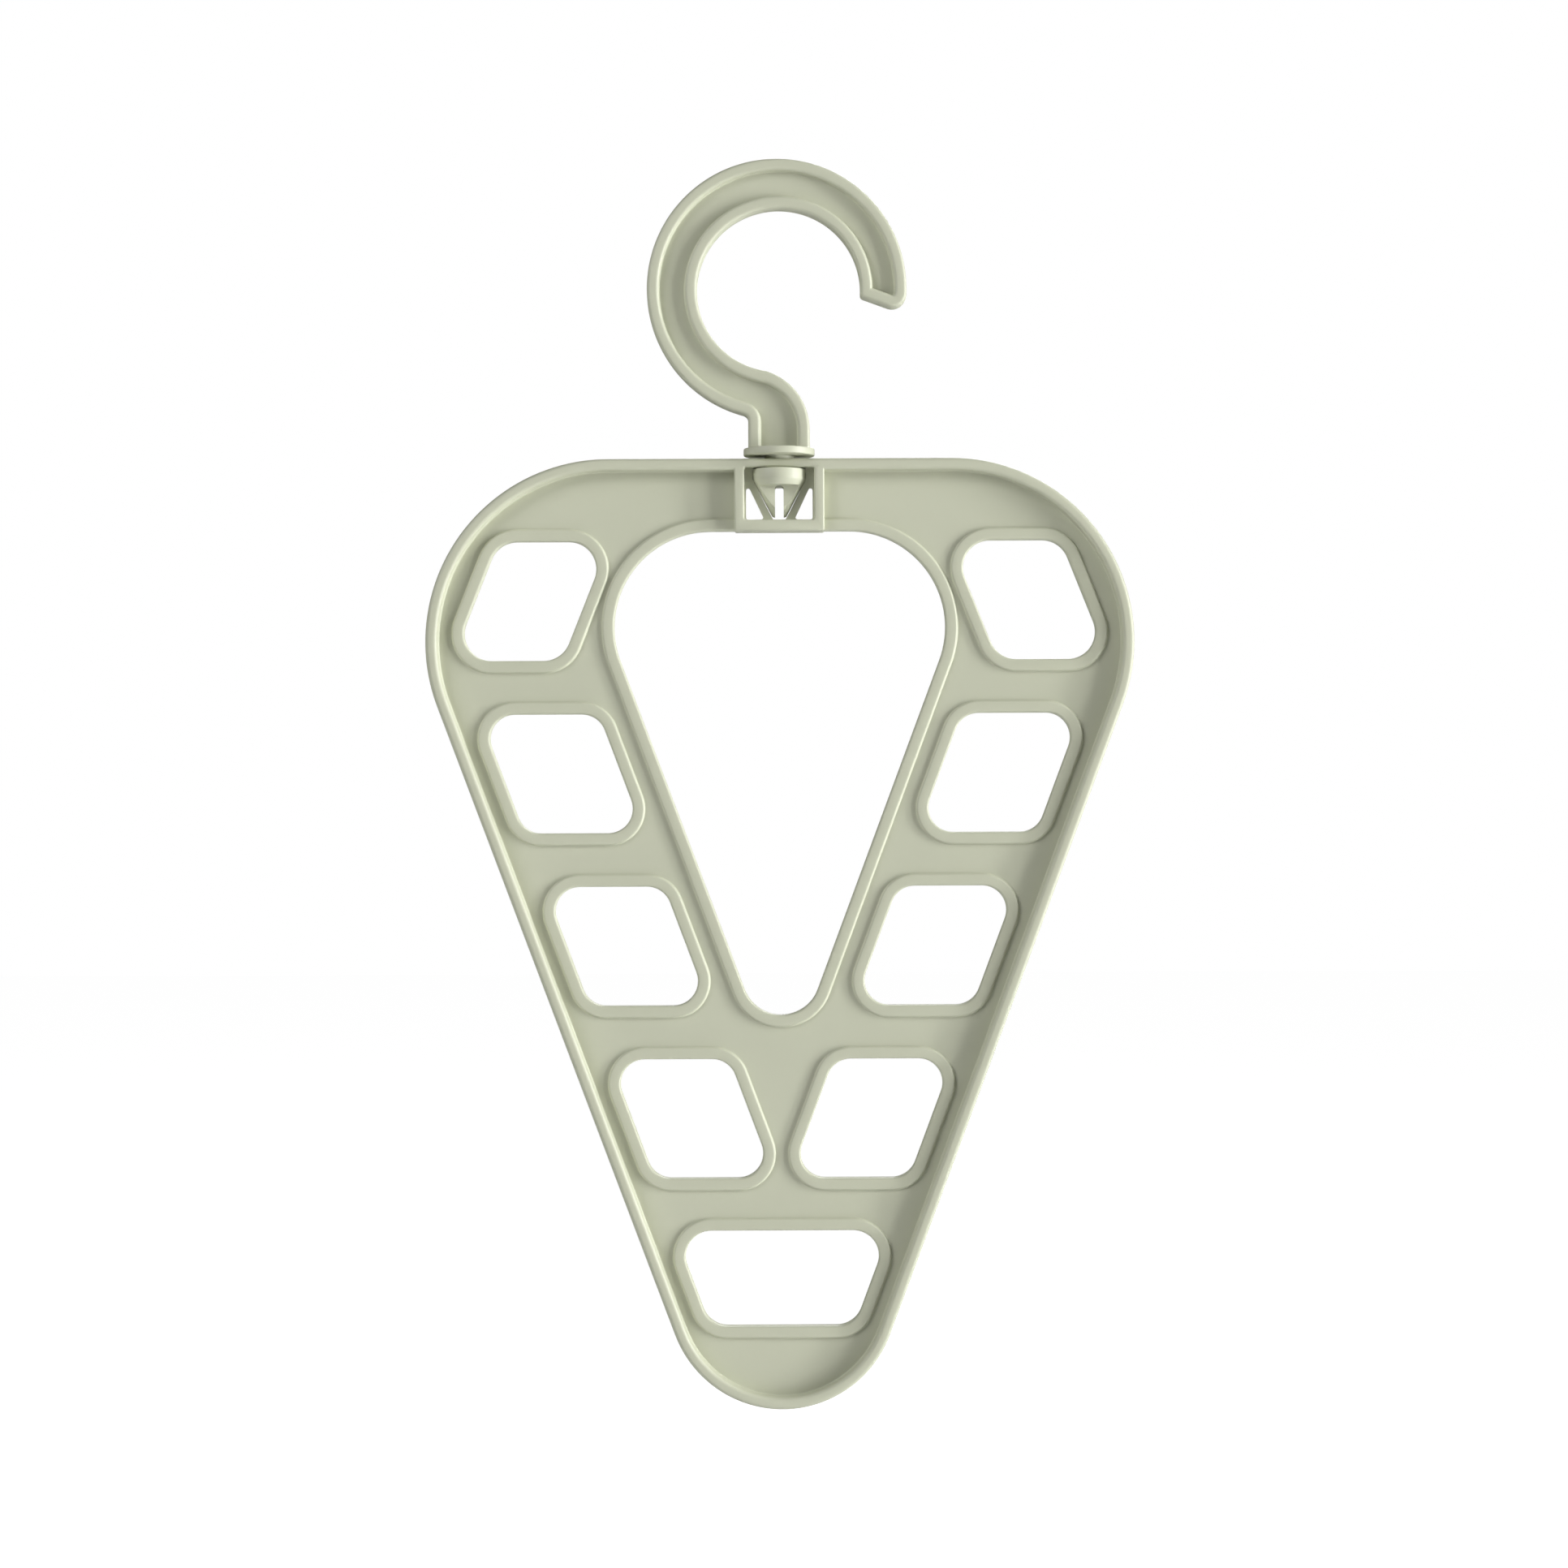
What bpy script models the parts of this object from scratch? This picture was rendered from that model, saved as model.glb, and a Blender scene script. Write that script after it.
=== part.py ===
"""Nine-hole rotating hanger: a swivel hook that snaps into a flat, ribbed, triangular frame.

A standalone model in metres, +Z up. Run it with blender --background --python part.py, or from
Blender's text editor. The origin is the point at the top of the hook's loop that a rod carries.
The swivel axis is the Z axis, the front of the hanger faces -Y, and both mouldings are mirrored
front to back. Outlines are drawn in the XZ plane and given their depth along Y.
"""

import math

import bmesh
import bpy
from mathutils import Vector

# Sections, front to back: both mouldings have rims that stand on both sides of a thin web. The
# frame's outer rim and its socket are deep, and the rims of its opening and holes are shallow.
DEPTH = 0.0100
HOLE_RIM_DEPTH = 0.0040
HOOK_DEPTH = 0.0064
WEB = 0.0020
RIM = 0.0034
RIM_CHAMFER = 0.0005

# Hook: an open ring on a short stem, closed below by a collar. The ring's outer edge lies a little
# up and to the left of its inner edge, so the band is widest there.
LOOP_RADIUS = 0.0227
LOOP_BAND = 0.0135
BAND_SHIFT_LEFT = 0.0005
BAND_SHIFT_UP = 0.0004
NOSE_DROP_ANGLE = math.radians(4.8)
NOSE_TILT = math.radians(20)
NOSE_INNER_ROUND = 0.0012
NOSE_OUTER_ROUND = 0.0040
STEM_WIDTH = 0.0172
STEM_LENGTH = 0.0078
STEM_UPRIGHT = 0.0073
THROAT_SHIFT = 0.0034
THROAT_ROUND = 0.0050
HEEL_ROUND = 0.0020
COLLAR_DIAMETER = 0.0198
COLLAR_THICKNESS = 0.0020
COLLAR_EDGE = 0.0003

# Snap head below the collar: a neck, a shoulder disc that tapers at its chin, and a cone that is
# flat at the front and back and split into two springy legs
NECK_DIAMETER = 0.0080
HEAD_DIAMETER = 0.0148
HEAD_DISC_HEIGHT = 0.0046
HEAD_EDGE = 0.0004
HEAD_CHIN = 0.0016
CONE_TOP_DIAMETER = 0.0129
CONE_TIP_DIAMETER = 0.0038
CONE_HEIGHT = 0.0087
LEG_DEPTH = 0.0060
SPLIT_WIDTH = 0.0024

# Running fits between the head and its socket
COLLAR_GAP = 0.0009
SHOULDER_GAP = 0.0003
NECK_GAP = 0.0004
CRADLE_GAP = 0.0004
TIP_GAP = 0.0010

# Socket: a box in the middle of the frame's top bar, with a window front and back
SOCKET_ROOF = 0.0025
SOCKET_WALL = 0.0028
SOCKET_FLOOR = 0.0030
SOCKET_SIDE_ROOM = 0.0023
CRADLE_BAR = 0.0018
CRADLE_LEDGE = 0.0004
CRADLE_SILL = 0.0003
CRADLE_HOLE_ROUND = 0.0006

# Frame: a triangle with round corners, tip down
FRAME_WIDTH = 0.1971
FRAME_HEIGHT = 0.2642
SHOULDER_RADIUS = 0.0509
TIP_RADIUS = 0.0320
ARM_WIDTH = 0.0521
OPENING_TOP_ROUND = 0.0267
OPENING_BOTTOM_ROUND = 0.0108

# Nine hanging holes: one pair in the shoulders, three pairs in the arms and one in the tip
ARM_ROWS = 3
HOLES_BELOW_TOP = 0.0228
HOLE_BAR = 0.0150
HOLE_MARGIN = 0.0100
HOLE_SPAN = 0.0311
HOLE_ROUND = 0.0068
SHOULDER_HOLE_SPAN = 0.0289
SHOULDER_HOLE_INSET = 0.0290
SHOULDER_HOLE_LEAN = math.radians(21.7)
SHOULDER_HOLE_ROUND = 0.0076
TIP_HOLE_BAR = 0.0147
TIP_HOLE_HEIGHT = 0.0265
TIP_HOLE_ABOVE_TIP = 0.0228
TIP_HOLE_MARGIN = 0.0099
TIP_HOLE_ROUND = 0.0072

# How far a drawn arc may lie from its true curve, and the room that cutters run past a face
FACET = 0.00006
OVERRUN = 0.0040
LEAST_ROUND = 0.0003

# What counts as one point, one plane, a flat join, a rim's edge and a smooth surface
SAME_POINT = 1e-7
SAME_PLANE = 1e-6
FLAT_JOIN = math.radians(0.5)
RIM_EDGE = math.radians(60)
SMOOTH_JOIN = math.radians(30)

PLASTIC_COLOUR = (0.57, 0.585, 0.47, 1.0)
PLASTIC_ROUGHNESS = 0.42


# Places that follow from the sizes above
HALF_DEPTH = DEPTH / 2
HOLE_RIM_HALF_DEPTH = HOLE_RIM_DEPTH / 2
HOOK_HALF_DEPTH = HOOK_DEPTH / 2
LOOP_CENTRE = Vector((0.0, -LOOP_RADIUS))
BAND_CENTRE = LOOP_CENTRE + Vector((-BAND_SHIFT_LEFT, BAND_SHIFT_UP))
COLLAR_TOP = LOOP_CENTRE.y - LOOP_RADIUS - LOOP_BAND - STEM_LENGTH
COLLAR_UNDERSIDE = COLLAR_TOP - COLLAR_THICKNESS
BEND_END = COLLAR_UNDERSIDE + STEM_UPRIGHT
FRAME_TOP = COLLAR_UNDERSIDE - COLLAR_GAP
WINDOW_TOP = FRAME_TOP - SOCKET_ROOF
HEAD_TOP = WINDOW_TOP - SHOULDER_GAP
CONE_TOP = HEAD_TOP - HEAD_DISC_HEIGHT
CONE_TIP = CONE_TOP - CONE_HEIGHT
WINDOW_BOTTOM = CONE_TIP - TIP_GAP
OPENING_TOP = WINDOW_BOTTOM - SOCKET_FLOOR
WINDOW_HALF_WIDTH = HEAD_DIAMETER / 2 + SOCKET_SIDE_ROOM
SOCKET_HALF_WIDTH = WINDOW_HALF_WIDTH + SOCKET_WALL

# The shoulder holes and the rows of arm holes share out the height that the bars leave
BARS = ARM_ROWS * HOLE_BAR + TIP_HOLE_BAR
HOLE_ROOM = FRAME_HEIGHT - HOLES_BELOW_TOP - BARS - TIP_HOLE_HEIGHT - TIP_HOLE_ABOVE_TIP
HOLE_HEIGHT = HOLE_ROOM / (ARM_ROWS + 1)
ROW_PITCH = HOLE_HEIGHT + HOLE_BAR
ROW_ONE_FLOOR = HOLES_BELOW_TOP + HOLE_HEIGHT


def arc(centre, radius, start, end):
    """Points on an arc from the angle start to the angle end, both ends included."""
    step = 2 * math.acos(max(1 - FACET / max(radius, FACET), 0.0))
    count = max(2, math.ceil(abs(end - start) / step))
    angles = [start + (end - start) * i / count for i in range(count + 1)]
    return [Vector((centre[0] + radius * math.cos(a), centre[1] + radius * math.sin(a))) for a in angles]


def side_normals(corners, index):
    """Outward normals of the two sides that meet at a corner of a counter-clockwise polygon."""
    before = corners[index] - corners[index - 1]
    after = corners[(index + 1) % len(corners)] - corners[index]
    return [Vector((side.y, -side.x)).normalized() for side in (before, after)]


def rounded(corners, radii, grow=0.0):
    """A convex polygon with its corners as arcs, and with its whole outline moved outwards by grow."""
    points = []
    for index, (corner, radius) in enumerate(zip(corners, radii)):
        first, second = side_normals(corners, index)
        centre = corner - radius * (first + second) / (1 + first.dot(second))
        start = math.atan2(first.y, first.x)
        turn = math.acos(max(-1.0, min(1.0, first.dot(second))))
        drawn = arc(centre, radius, start, start + turn)
        # An arc that is moved keeps its points on the same rays, so parallel outlines match
        points += [centre + (point - centre) * (radius + grow) / radius for point in drawn]
    return points


def mirrored(corners):
    """The same polygon on the other side of the swivel axis, still counter-clockwise."""
    return [Vector((-corner.x, corner.y)) for corner in reversed(corners)]


def solid(name, mesh_data):
    """Turns a finished bmesh into a named object at the world's origin."""
    bmesh.ops.remove_doubles(mesh_data, verts=mesh_data.verts, dist=SAME_POINT)
    bmesh.ops.recalc_face_normals(mesh_data, faces=mesh_data.faces)
    mesh = bpy.data.meshes.new(name)
    mesh_data.to_mesh(mesh)
    mesh_data.free()
    made = bpy.data.objects.new(name, mesh)
    bpy.context.scene.collection.objects.link(made)
    return made


def prism(name, outline, front, back):
    """A closed outline in the XZ plane, drawn out along Y from front to back."""
    shape = bmesh.new()
    corners = [shape.verts.new((point.x, front, point.y)) for point in outline]
    cap = shape.faces.new(corners)
    drawn = bmesh.ops.extrude_face_region(shape, geom=[cap])
    moved = [item for item in drawn["geom"] if isinstance(item, bmesh.types.BMVert)]
    bmesh.ops.translate(shape, verts=moved, vec=(0, back - front, 0))
    return solid(name, shape)


def turned(name, profile):
    """A solid turned about the Z axis from (radius, height) points, top to bottom."""
    shape = bmesh.new()
    widest = max(point[0] for point in profile)
    steps = math.ceil(math.pi / math.acos(1 - FACET / widest))
    line = [shape.verts.new((radius, 0, height)) for radius, height in profile]
    edges = [shape.edges.new(pair) for pair in zip(line, line[1:])]
    bmesh.ops.spin(
        shape, geom=line + edges, cent=(0, 0, 0), axis=(0, 0, 1),
        angle=2 * math.pi, steps=steps, use_merge=True,
    )
    return solid(name, shape)


def combined(body, tools, operation):
    """Applies a Boolean with each tool in turn, and clears the tools away."""
    for tool in tools:
        modifier = body.modifiers.new(tool.name, "BOOLEAN")
        modifier.operation = operation
        modifier.solver = "EXACT"
        modifier.object = tool
        graph = bpy.context.evaluated_depsgraph_get()
        result = bpy.data.meshes.new_from_object(body.evaluated_get(graph))
        body.modifiers.clear()
        body.data = result
        bpy.data.objects.remove(tool)
    return body


def chamfered(body, planes):
    """Breaks the sharp rim edges that lie in the given front and back planes."""
    shape = bmesh.new()
    shape.from_mesh(body.data)
    bmesh.ops.dissolve_limit(
        shape, angle_limit=FLAT_JOIN, verts=shape.verts, edges=shape.edges,
    )
    sharp = []
    for edge in shape.edges:
        in_plane = any(
            all(abs(abs(vert.co.y) - plane) < SAME_PLANE for vert in edge.verts) for plane in planes
        )
        if in_plane and edge.calc_face_angle(0.0) > RIM_EDGE:
            sharp.append(edge)
    bmesh.ops.bevel(
        shape, geom=sharp, offset=RIM_CHAMFER, offset_type="OFFSET", segments=1, profile=0.5,
        affect="EDGES", clamp_overlap=True, material=-1,
    )
    shape.to_mesh(body.data)
    shape.free()
    return body


def hook_outline(inset):
    """The outline of loop and stem, moved inwards by inset but open at its foot in the collar."""
    outer = LOOP_RADIUS + LOOP_BAND - inset
    inner = LOOP_RADIUS + inset
    half_stem = STEM_WIDTH / 2 - inset
    throat = max(THROAT_ROUND - inset, LEAST_ROUND)
    heel = HEEL_ROUND + inset
    nose_in = max(NOSE_INNER_ROUND - inset, LEAST_ROUND)
    nose_out = max(NOSE_OUTER_ROUND - inset, LEAST_ROUND)
    foot = COLLAR_TOP - COLLAR_THICKNESS / 2 - inset
    centre = LOOP_CENTRE
    band_centre = BAND_CENTRE

    # The nose is cut by a straight face, which tilts down towards the outside
    along = Vector((math.cos(NOSE_TILT), -math.sin(NOSE_TILT)))
    out = Vector((-math.sin(NOSE_TILT), -math.cos(NOSE_TILT)))
    corner = LOOP_RADIUS * Vector((math.cos(NOSE_DROP_ANGLE), -math.sin(NOSE_DROP_ANGLE)))
    face = corner.dot(out) - inset

    def rounding(middle, reach, radius):
        """Centre of the round between the nose's face and a circle about middle."""
        depth = face - radius - (middle - centre).dot(out)
        return middle + depth * out + math.sqrt(reach * reach - depth * depth) * along

    out_angle = math.atan2(out.y, out.x)
    outer_round = rounding(band_centre, outer - nose_out, nose_out)
    inner_round = rounding(centre, inner + nose_in, nose_in)
    outer_start = math.atan2(outer_round.y - band_centre.y, outer_round.x - band_centre.x)
    inner_end = math.atan2(inner_round.y - centre.y, inner_round.x - centre.x)

    # The heel fills the inside corner between the loop's outer edge and the stem's left side
    heel_x = -half_stem - heel
    heel_drop = math.sqrt((outer + heel) ** 2 - (heel_x - band_centre.x) ** 2)
    heel_centre = Vector((heel_x, band_centre.y - heel_drop))
    heel_angle = math.atan2(-heel_drop, heel_x - band_centre.x)

    # The stem's right side bends from the throat on the loop's inner edge until it is upright, a
    # little above the collar, and the throat itself is rounded
    crotch = Vector((-THROAT_SHIFT, centre.y - math.sqrt(LOOP_RADIUS ** 2 - THROAT_SHIFT ** 2)))
    reach = Vector((STEM_WIDTH / 2, BEND_END)) - crotch
    full_bend = reach.length_squared / (2 * reach.x)
    bend = full_bend - inset
    bend_centre = Vector((STEM_WIDTH / 2 - full_bend, BEND_END))
    throat_centre = circles_meet(centre, inner + throat, bend_centre, bend - throat)
    throat_angle = math.atan2(throat_centre.y - centre.y, throat_centre.x - centre.x)
    bend_end = math.atan2(throat_centre.y - bend_centre.y, throat_centre.x - bend_centre.x)

    turn = 2 * math.pi
    points = arc(outer_round, nose_out, out_angle, outer_start)
    points += arc(band_centre, outer, outer_start, heel_angle + turn)
    points += arc(heel_centre, heel, heel_angle + math.pi, 0.0)
    points += [Vector((-half_stem, foot)), Vector((half_stem, foot))]
    points += arc(bend_centre, bend, 0.0, bend_end)
    points += arc(throat_centre, throat, bend_end, throat_angle + math.pi)
    points += arc(centre, inner, throat_angle + turn, inner_end)
    points += arc(inner_round, nose_in, inner_end - math.pi, out_angle)
    return without_repeats(points)


def circles_meet(first, first_radius, second, second_radius):
    """The point where two circles cross, on the right of the line from second to first."""
    between = first - second
    distance = between.length
    along = (second_radius ** 2 - first_radius ** 2 + distance ** 2) / (2 * distance)
    across = math.sqrt(second_radius ** 2 - along ** 2)
    direction = between / distance
    return second + direction * along + Vector((direction.y, -direction.x)) * across


def without_repeats(points):
    """Drops each point that repeats the one before it, as where two arcs join."""
    return [point for i, point in enumerate(points) if (point - points[i - 1]).length > SAME_POINT]


def block(half_width, bottom, top):
    """Corners of an upright rectangle that is centred on the swivel axis."""
    return [
        Vector((-half_width, bottom)),
        Vector((half_width, bottom)),
        Vector((half_width, top)),
        Vector((-half_width, top)),
    ]


def make_head():
    """Collar, neck, shoulder disc and cone, turned in one piece, then cut into two flat legs."""
    collar = COLLAR_DIAMETER / 2
    neck = NECK_DIAMETER / 2
    disc = HEAD_DIAMETER / 2
    profile = [
        (0, COLLAR_TOP),
        (collar - COLLAR_EDGE, COLLAR_TOP),
        (collar, COLLAR_TOP - COLLAR_EDGE),
        (collar, COLLAR_UNDERSIDE + COLLAR_EDGE),
        (collar - COLLAR_EDGE, COLLAR_UNDERSIDE),
        (neck, COLLAR_UNDERSIDE),
        (neck, HEAD_TOP),
        (disc - HEAD_EDGE, HEAD_TOP),
        (disc, HEAD_TOP - HEAD_EDGE),
        (disc, CONE_TOP + HEAD_CHIN),
        (CONE_TOP_DIAMETER / 2, CONE_TOP),
        (CONE_TIP_DIAMETER / 2, CONE_TIP),
        (0, CONE_TIP),
    ]
    head = turned("head", profile)
    below = CONE_TIP - OVERRUN
    slot = prism("slot", block(SPLIT_WIDTH / 2, below, CONE_TOP), -disc, disc)
    leg_room = block(disc, below, CONE_TOP)
    front = prism("front_of_legs", leg_room, -disc, -LEG_DEPTH / 2)
    back = prism("back_of_legs", leg_room, LEG_DEPTH / 2, disc)
    return combined(head, [slot, front, back], "DIFFERENCE")


def make_hook():
    """Loop and stem with a channel front and back, then the round parts below."""
    hook = prism("hook", hook_outline(0.0), -HOOK_HALF_DEPTH, HOOK_HALF_DEPTH)
    channel = hook_outline(RIM)
    front = prism("front_channel", channel, -HOOK_HALF_DEPTH - OVERRUN, -WEB / 2)
    back = prism("back_channel", channel, WEB / 2, HOOK_HALF_DEPTH + OVERRUN)
    combined(hook, [front, back], "DIFFERENCE")
    chamfered(hook, [HOOK_HALF_DEPTH])
    return combined(hook, [make_head()], "UNION")


def side_slope():
    """The angle of the frame's straight sides from upright, which touch both round corners."""
    across = FRAME_WIDTH / 2 - SHOULDER_RADIUS
    down = FRAME_HEIGHT - SHOULDER_RADIUS - TIP_RADIUS
    return math.atan2(across, down) + math.asin(
        (SHOULDER_RADIUS - TIP_RADIUS) / math.hypot(across, down)
    )


SLOPE = side_slope()
SIDE_OUT = Vector((math.cos(SLOPE), -math.sin(SLOPE)))
SHOULDER_CENTRE = Vector((FRAME_WIDTH / 2 - SHOULDER_RADIUS, FRAME_TOP - SHOULDER_RADIUS))
SIDE_REACH = SHOULDER_CENTRE.dot(SIDE_OUT) + SHOULDER_RADIUS


def side_point(margin, height):
    """The point at a height on the line that runs inside the right-hand side, margin away."""
    return Vector(((SIDE_REACH - margin - height * SIDE_OUT.y) / SIDE_OUT.x, height))


def triangle(margin, top):
    """Corners of a triangle, tip down, whose sides run parallel to the frame's own."""
    right = side_point(margin, top)
    tip = Vector((0.0, (SIDE_REACH - margin) / SIDE_OUT.y))
    return [Vector((-right.x, top)), tip, right]


def frame_outline(grow=0.0):
    radii = [SHOULDER_RADIUS, TIP_RADIUS, SHOULDER_RADIUS]
    return rounded(triangle(0.0, FRAME_TOP), radii, grow)


def opening_outline(grow=0.0):
    radii = [OPENING_TOP_ROUND, OPENING_BOTTOM_ROUND, OPENING_TOP_ROUND]
    return rounded(triangle(ARM_WIDTH, OPENING_TOP), radii, grow)


def arm_hole(row):
    """Corners of the right-hand hole of a row in the arms."""
    floor = FRAME_TOP - ROW_ONE_FLOOR - row * ROW_PITCH
    inner = HOLE_MARGIN + HOLE_SPAN
    return [
        side_point(inner, floor),
        side_point(HOLE_MARGIN, floor),
        side_point(HOLE_MARGIN, floor + HOLE_HEIGHT),
        side_point(inner, floor + HOLE_HEIGHT),
    ]


def shoulder_hole():
    """Corners of the right-hand hole in the shoulder, which leans the other way."""
    floor = FRAME_TOP - ROW_ONE_FLOOR
    middle = FRAME_WIDTH / 2 - SHOULDER_HOLE_INSET
    half_width = SHOULDER_HOLE_SPAN / 2 / math.cos(SLOPE)
    lean = HOLE_HEIGHT / 2 * math.tan(SHOULDER_HOLE_LEAN)
    return [
        Vector((middle + lean - half_width, floor)),
        Vector((middle + lean + half_width, floor)),
        Vector((middle - lean + half_width, floor + HOLE_HEIGHT)),
        Vector((middle - lean - half_width, floor + HOLE_HEIGHT)),
    ]


def tip_hole():
    """Corners of the ninth hole, which narrows with the frame's tip."""
    floor = FRAME_TOP - FRAME_HEIGHT + TIP_HOLE_ABOVE_TIP
    bottom = side_point(TIP_HOLE_MARGIN, floor)
    top = side_point(TIP_HOLE_MARGIN, floor + TIP_HOLE_HEIGHT)
    return [Vector((-bottom.x, floor)), bottom, top, Vector((-top.x, top.y))]


def hanging_holes():
    """Name, corners and corner radius of each of the nine holes."""
    right_hand = [("shoulder", shoulder_hole(), SHOULDER_HOLE_ROUND)]
    for row in range(1, ARM_ROWS + 1):
        right_hand.append((f"arm_{row}", arm_hole(row), HOLE_ROUND))
    holes = [("tip", tip_hole(), TIP_HOLE_ROUND)]
    for name, corners, radius in right_hand:
        holes.append((name + "_right", corners, radius))
        holes.append((name + "_left", mirrored(corners), radius))
    return holes


def cradle_hole():
    """Corners of the right-hand hole in the socket's web, outside the bar beside the cone."""
    lean = (CONE_TOP_DIAMETER - CONE_TIP_DIAMETER) / 2 / CONE_HEIGHT
    room = (CRADLE_GAP + CRADLE_BAR) * math.hypot(1, lean)
    floor = WINDOW_BOTTOM + CRADLE_SILL
    wall = WINDOW_HALF_WIDTH - CRADLE_LEDGE
    near = CONE_TIP_DIAMETER / 2 + room + lean * (floor - CONE_TIP)
    peak = floor + (wall - near) / lean
    return [Vector((near, floor)), Vector((wall, floor)), Vector((wall, peak))]


def head_room():
    """The space that the head turns in, cut from the web between the socket's windows."""
    disc = HEAD_DIAMETER / 2 + CRADLE_GAP
    cone_top = CONE_TOP_DIAMETER / 2 + CRADLE_GAP
    cone_tip = CONE_TIP_DIAMETER / 2 + CRADLE_GAP
    profile = [
        (0, WINDOW_TOP),
        (disc, WINDOW_TOP),
        (disc, CONE_TOP - CRADLE_GAP),
        (cone_top, CONE_TOP - CRADLE_GAP),
        (cone_tip, WINDOW_BOTTOM),
        (0, WINDOW_BOTTOM),
    ]
    return turned("head_room", profile)


def make_frame():
    """The plate, its rims of two depths, the nine holes, the middle opening and the socket."""
    far = HALF_DEPTH + OVERRUN
    past = far + OVERRUN
    frame = prism("frame", frame_outline(), -HALF_DEPTH, HALF_DEPTH)

    socket = block(SOCKET_HALF_WIDTH, OPENING_TOP - OVERRUN, FRAME_TOP + OVERRUN)
    shallow_rims = [opening_outline(RIM)]
    for name, corners, radius in hanging_holes():
        shallow_rims.append(rounded(corners, [radius] * 4, RIM))
    for side in (-1, 1):
        step = prism("step", frame_outline(-RIM), *sorted((side * HOLE_RIM_HALF_DEPTH, side * far)))
        combined(step, [prism("socket", socket, -past, past)], "DIFFERENCE")
        pocket = prism("pocket", frame_outline(-RIM), *sorted((side * WEB / 2, side * far)))
        islands = [prism("rim", outline, -past, past) for outline in shallow_rims + [socket]]
        combined(pocket, islands, "DIFFERENCE")
        combined(frame, [step, pocket], "DIFFERENCE")

    cutters = [prism("opening", opening_outline(), -far, far)]
    for name, corners, radius in hanging_holes():
        cutters.append(prism(name, rounded(corners, [radius] * 4), -far, far))
    window = block(WINDOW_HALF_WIDTH, WINDOW_BOTTOM, WINDOW_TOP)
    for front, back in ((-far, -WEB / 2), (WEB / 2, far)):
        cutters.append(prism("window", window, front, back))
    combined(frame, cutters, "DIFFERENCE")
    chamfered(frame, [HALF_DEPTH, HOLE_RIM_HALF_DEPTH])

    bore = NECK_DIAMETER / 2 + NECK_GAP
    bore_profile = [
        (0, FRAME_TOP + OVERRUN),
        (bore, FRAME_TOP + OVERRUN),
        (bore, WINDOW_TOP - SHOULDER_GAP),
        (0, WINDOW_TOP - SHOULDER_GAP),
    ]
    fits = [turned("bore", bore_profile), head_room()]
    for corners in (cradle_hole(), mirrored(cradle_hole())):
        outline = rounded(corners, [CRADLE_HOLE_ROUND] * 3)
        fits.append(prism("cradle_hole", outline, -HALF_DEPTH, HALF_DEPTH))
    return combined(frame, fits, "DIFFERENCE")


def give_plastic(piece, name):
    """One pale sage polypropylene, as its own material on each moulding."""
    material = bpy.data.materials.new(name)
    material.use_nodes = True
    shader = material.node_tree.nodes["Principled BSDF"]
    shader.inputs["Base Color"].default_value = PLASTIC_COLOUR
    shader.inputs["Roughness"].default_value = PLASTIC_ROUGHNESS
    shader.inputs["Metallic"].default_value = 0.0
    material.diffuse_color = PLASTIC_COLOUR
    piece.data.materials.clear()
    piece.data.materials.append(material)


def finish(piece):
    """Smooth shading on the curves, with the corners kept sharp."""
    piece.data.shade_smooth()
    piece.data.set_sharp_from_angle(angle=SMOOTH_JOIN)


for leftover in list(bpy.data.objects):
    bpy.data.objects.remove(leftover)

for moulding in (make_hook(), make_frame()):
    give_plastic(moulding, moulding.name + "_plastic")
    finish(moulding)
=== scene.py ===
"""The looks of a nine-hole rotating hanger: a swivel hook snapped into a flat triangular frame.

Both pieces are injection mouldings of pale sage polypropylene with a satin face. Lengths are in
metres, +Z is up, and the hanger faces -Y. The origin is where the rod carries the hook's loop.
"""

import math

import bmesh
import bpy
from mathutils import Matrix, Vector


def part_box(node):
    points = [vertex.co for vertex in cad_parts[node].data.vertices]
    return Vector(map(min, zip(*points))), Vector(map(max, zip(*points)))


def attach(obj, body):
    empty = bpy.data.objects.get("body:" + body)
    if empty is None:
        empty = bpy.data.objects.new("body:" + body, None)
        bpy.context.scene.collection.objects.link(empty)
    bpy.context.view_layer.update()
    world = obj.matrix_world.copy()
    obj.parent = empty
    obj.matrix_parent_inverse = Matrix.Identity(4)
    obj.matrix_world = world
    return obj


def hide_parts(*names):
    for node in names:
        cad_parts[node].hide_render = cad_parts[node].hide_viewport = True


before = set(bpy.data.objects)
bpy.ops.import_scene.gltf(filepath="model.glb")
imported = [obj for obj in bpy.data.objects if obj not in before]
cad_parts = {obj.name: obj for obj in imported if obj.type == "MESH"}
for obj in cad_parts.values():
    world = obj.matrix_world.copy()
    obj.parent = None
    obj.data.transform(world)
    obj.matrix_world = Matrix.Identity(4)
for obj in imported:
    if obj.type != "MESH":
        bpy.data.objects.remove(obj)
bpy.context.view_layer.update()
frame_low, frame_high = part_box("frame")
hook_low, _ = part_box("hook")


# Camera: square to the hanger's face and level with the middle of its height, as the photograph
# was taken, and tipped a quarter of a degree about its own line of sight
CAMERA_DISTANCE = 0.800
FACE_IN_FRONT = 0.005
WIDTH_IN_VIEW = 0.4347
CAMERA_RIGHT = 0.00099
CAMERA_HEIGHT = -0.1601
CAMERA_TIP = math.radians(0.235)

camera_data = bpy.data.cameras.new("camera")
camera_data.lens = camera_data.sensor_width * CAMERA_DISTANCE / WIDTH_IN_VIEW
camera = bpy.data.objects.new("camera", camera_data)
camera.location = (CAMERA_RIGHT, -FACE_IN_FRONT - CAMERA_DISTANCE, CAMERA_HEIGHT)
camera.rotation_euler = (math.radians(90), CAMERA_TIP, 0)
bpy.context.scene.collection.objects.link(camera)
bpy.context.scene.camera = camera


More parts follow.
